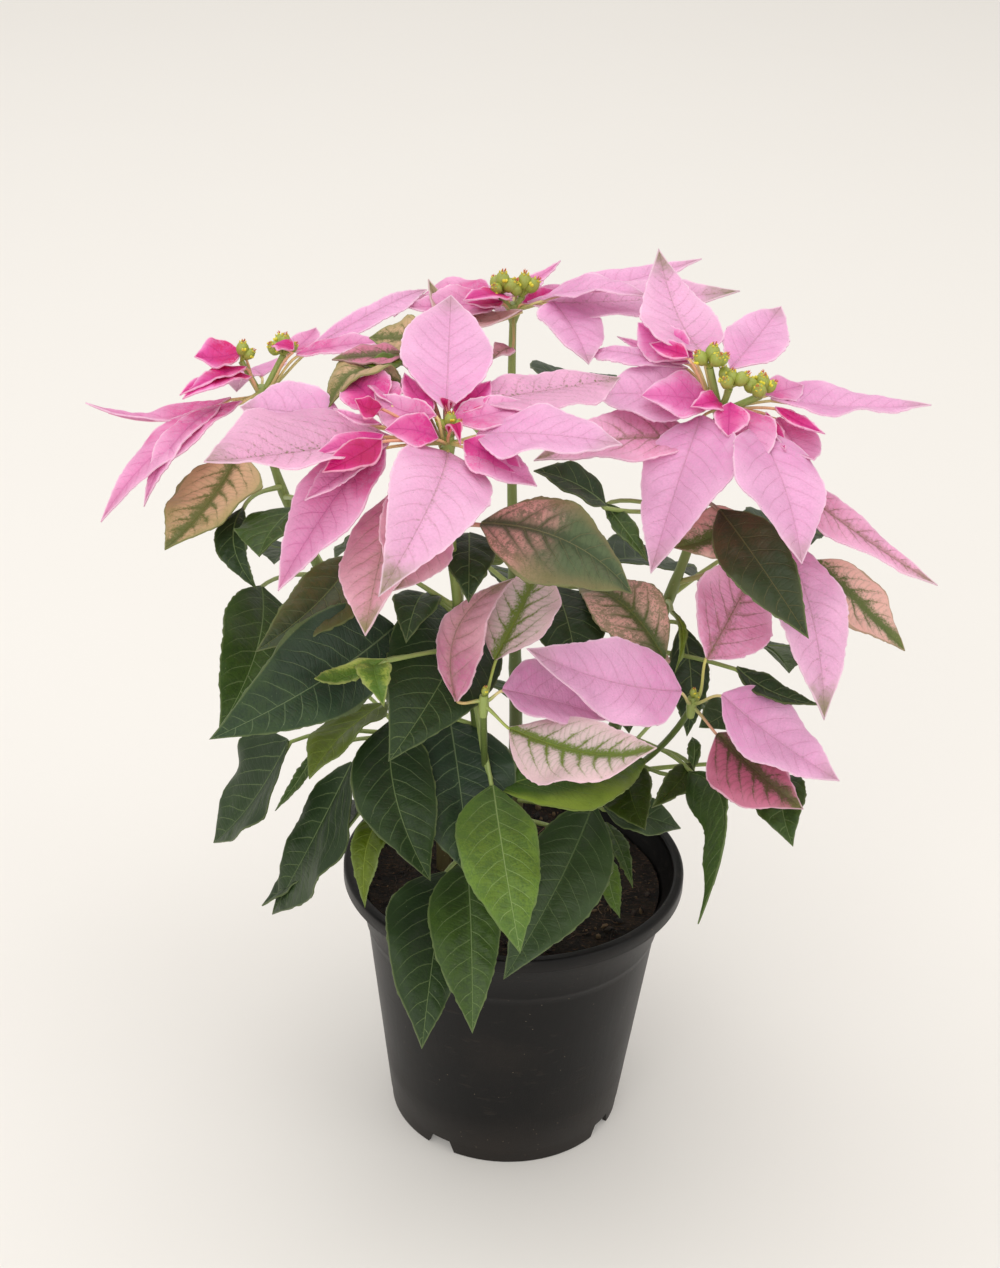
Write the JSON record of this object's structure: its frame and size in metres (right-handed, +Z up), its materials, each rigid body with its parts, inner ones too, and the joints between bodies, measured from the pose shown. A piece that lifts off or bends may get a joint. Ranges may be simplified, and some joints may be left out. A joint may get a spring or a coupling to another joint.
{
  "type": "potted poinsettia",
  "caption": "Potted flowering house plant: leafy stems rooted in peat in a tapered nursery pot, each topped by layered pink bracts round small yellow-green cyathia.",
  "frame": {"origin": "on the surface that the pot stands on, under the middle of the plant's outer bounds; the pot's own axis stands at x 0.009, y -0.015", "axes": "+Z up, along the pot's axis; -Y is the side that the picture shows, with +X to its right"},
  "size_m": [0.2989, 0.2606, 0.3382],
  "materials": {
    "black_plastic": "matt black with a faint brown sheen",
    "peat": "damp dark peat",
    "leaf_green": "soft satin leaf",
    "bract_pink": "soft matt bract"
  },
  "bodies": {
    "root": {"pot": "black_plastic", "soil": "peat", "leafy_stem_front": "leaf_green", "leafy_stem_right": "leaf_green", "leafy_stem_back": "leaf_green", "leafy_stem_left": "leaf_green", "bloom_front": "bract_pink", "bloom_right": "bract_pink", "bloom_back": "bract_pink", "bloom_left": "bract_pink", "bloom_low_front": "bract_pink", "bloom_low_right": "bract_pink"}
  },
  "joints": []
}
